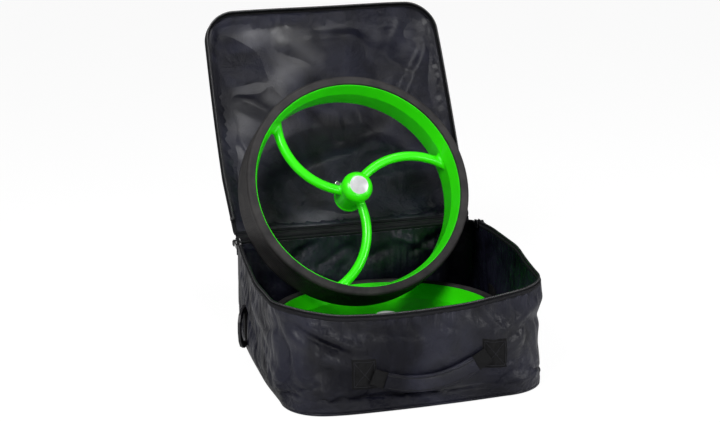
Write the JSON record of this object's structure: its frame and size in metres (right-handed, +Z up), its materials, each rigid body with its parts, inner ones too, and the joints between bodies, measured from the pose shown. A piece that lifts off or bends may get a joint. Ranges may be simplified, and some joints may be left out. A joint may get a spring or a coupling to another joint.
{
  "type": "trolley wheel pair in carry bag",
  "caption": "Pair of three-arm trolley wheels with quick-release hubs in a zip-up fabric carry bag with a fold-back lid",
  "frame": {"origin": "centre of the bag's underside, on the floor", "axes": "+Z up, -Y towards the bag's front handle, +X to the right seen from the front"},
  "size_m": [0.3518, 0.5242, 0.3967],
  "materials": {
    "nylon": "coated nylon, satin sheen",
    "binding": "woven tape",
    "webbing": "woven webbing",
    "zip": "nylon coil",
    "slider_metal": "black lacquer",
    "ring_plastic": "moulded",
    "lime_plastic": "gloss moulding",
    "tyre": "solid tyre, fine tread",
    "cap": "silver lacquer",
    "steel": "bright zinc",
    "knob_metal": "plated"
  },
  "bodies": {
    "bag": {"bag_wall_wrap": "nylon", "bag_wall_back": "nylon", "bag_base": "nylon", "bag_rim_binding": "binding", "zip_tape_bag": "binding", "zip_coil_bag": "zip", "zip_stops_bag": "zip", "hinge_strip_bag": "binding", "handle_patch_left": "webbing", "handle_patch_right": "webbing", "side_tab_left": "webbing", "side_tab_right": "webbing"},
    "hinge_line": {"hinge_cord": "binding", "hinge_strip_lid": "binding"},
    "lid": {"lid_panel": "nylon", "lid_binding": "binding", "zip_tape_lid": "binding", "zip_coil_lid": "zip", "zip_stops_lid": "zip"},
    "handle": {"handle_webbing": "webbing", "handle_grip": "nylon"},
    "ring_left": {"side_ring_left": "ring_plastic"},
    "ring_right": {"side_ring_right": "ring_plastic"},
    "slider_left": {"zip_slider_left": "slider_metal"},
    "slider_right": {"zip_slider_right": "slider_metal"},
    "pull_left": {"zip_pull_left": "slider_metal"},
    "pull_right": {"zip_pull_right": "slider_metal"},
    "lower_wheel": {"lower_tyre": "tyre", "lower_wheel_body": "lime_plastic", "lower_hub_cap": "cap", "lower_bearing_outer_rings": "steel", "lower_bearing_balls": "steel", "lower_bearing_clip": "steel", "lower_release_bush": "steel", "lower_release_spring": "steel"},
    "lower_sleeve": {"lower_axle_sleeve": "steel", "lower_bearing_inner_rings": "steel"},
    "lower_release": {"lower_release_pin": "steel", "lower_release_knob": "knob_metal"},
    "upper_wheel": {"upper_tyre": "tyre", "upper_wheel_body": "lime_plastic", "upper_hub_cap": "cap", "upper_bearing_outer_rings": "steel", "upper_bearing_balls": "steel", "upper_bearing_clip": "steel", "upper_release_bush": "steel", "upper_release_spring": "steel"},
    "upper_sleeve": {"upper_axle_sleeve": "steel", "upper_bearing_inner_rings": "steel"},
    "upper_release": {"upper_release_pin": "steel", "upper_release_knob": "knob_metal"}
  },
  "joints": [
    {"name": "lid_fold", "type": "hinge", "parent": "bag", "child": "hinge_line", "pos_m": [0, 0.1615, 0.1355], "axis": [1, 0, 0], "range_deg": [0, 124.7]},
    {"name": "lid_drop", "type": "hinge", "parent": "hinge_line", "child": "lid", "pos_m": [0, 0.17086, 0.13305], "axis": [-1, 0, 0], "range_deg": [0, 79]},
    {"name": "handle_swing", "type": "hinge", "parent": "bag", "child": "handle", "pos_m": [0.013, -0.1615, 0.057], "axis": [-0.9957, 0, -0.0928], "range_deg": [0, 150]},
    {"name": "ring_left_swing", "type": "hinge", "parent": "bag", "child": "ring_left", "pos_m": [-0.16166, 0.058, 0.047], "axis": [0, 0, 1], "range_deg": [-140, 10]},
    {"name": "ring_right_swing", "type": "hinge", "parent": "bag", "child": "ring_right", "pos_m": [0.16166, 0.058, 0.047], "axis": [0, 0, -1], "range_deg": [-140, 10]},
    {"name": "zip_left", "type": "slide", "parent": "bag", "child": "slider_left", "axis": [0, -1, 0], "range_m": [0, 0.215]},
    {"name": "zip_right", "type": "slide", "parent": "bag", "child": "slider_right", "axis": [0, -1, 0], "range_m": [0, 0.215]},
    {"name": "pull_left_flip", "type": "hinge", "parent": "slider_left", "child": "pull_left", "pos_m": [-0.1622, 0.124, 0.135], "axis": [0, 0, -1], "range_deg": [0, 165]},
    {"name": "pull_right_flip", "type": "hinge", "parent": "slider_right", "child": "pull_right", "pos_m": [0.1622, 0.124, 0.135], "axis": [0, 0, 1], "range_deg": [0, 165]},
    {"name": "lower_wheel_out", "type": "slide", "parent": "bag", "child": "lower_wheel", "axis": [0, 0, 1], "range_m": [0, 0.076]},
    {"name": "upper_wheel_out", "type": "slide", "parent": "lower_wheel", "child": "upper_wheel", "axis": [0.0791, -0.8731, 0.4811], "range_m": [0, 0.6]},
    {"name": "lower_spin", "type": "hinge", "parent": "lower_wheel", "child": "lower_sleeve", "pos_m": [0.004, 0.008, 0.0353], "axis": [0, 0, 1], "continuous": true},
    {"name": "lower_release_pull", "type": "slide", "parent": "lower_wheel", "child": "lower_release", "axis": [-0.8746, 0.4848, 0], "range_m": [0, 0.003], "stiffness_N_per_m": 800, "springref_m": -0.002, "deforming": ["lower_release_spring"]},
    {"name": "upper_spin", "type": "hinge", "parent": "upper_wheel", "child": "upper_sleeve", "pos_m": [-0.0031, 0.1398, 0.1868], "axis": [0.0791, -0.8731, 0.4811], "continuous": true},
    {"name": "upper_release_pull", "type": "slide", "parent": "upper_wheel", "child": "upper_release", "axis": [-0.6862, 0.3024, 0.6616], "range_m": [0, 0.003], "stiffness_N_per_m": 800, "springref_m": -0.002, "deforming": ["upper_release_spring"]}
  ],
  "couplings": [
    {"joint": "lid_fold", "follows": "upper_wheel_out", "rad_per_m": 3.6245}
  ]
}
